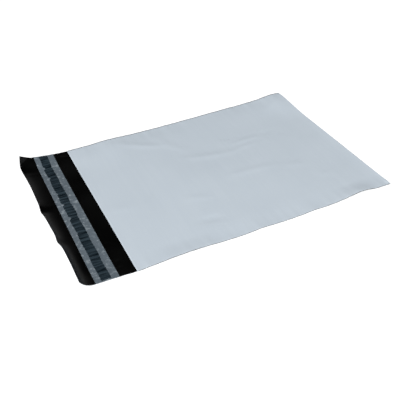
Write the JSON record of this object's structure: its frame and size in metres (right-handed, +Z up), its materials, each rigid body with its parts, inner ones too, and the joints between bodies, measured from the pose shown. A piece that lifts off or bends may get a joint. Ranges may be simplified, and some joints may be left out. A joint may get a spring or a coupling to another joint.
{
  "type": "poly mailer bag",
  "caption": "Flat empty plastic-film envelope with side welds, a bottom fold, an open mouth and a black flap with an adhesive band under a release liner.",
  "frame": {"origin": "middle of the bag's flat length and width, on the surface that it lies on", "axes": "+X from the flap's free edge to the bottom fold, +Z up out of the front panel, +Y across the bag"},
  "size_m": [0.3048, 0.2032, 0.0088],
  "materials": {
    "film": "satin co-extruded polyethylene film, silver-grey outside and black inside",
    "hot_melt": "glossy clear hot-melt adhesive, dark over the black film",
    "liner": "translucent silicone-coated film, smooth"
  },
  "bodies": {
    "root": {"film_body": "film", "adhesive_strip": "hot_melt", "release_liner": "liner"}
  },
  "joints": []
}
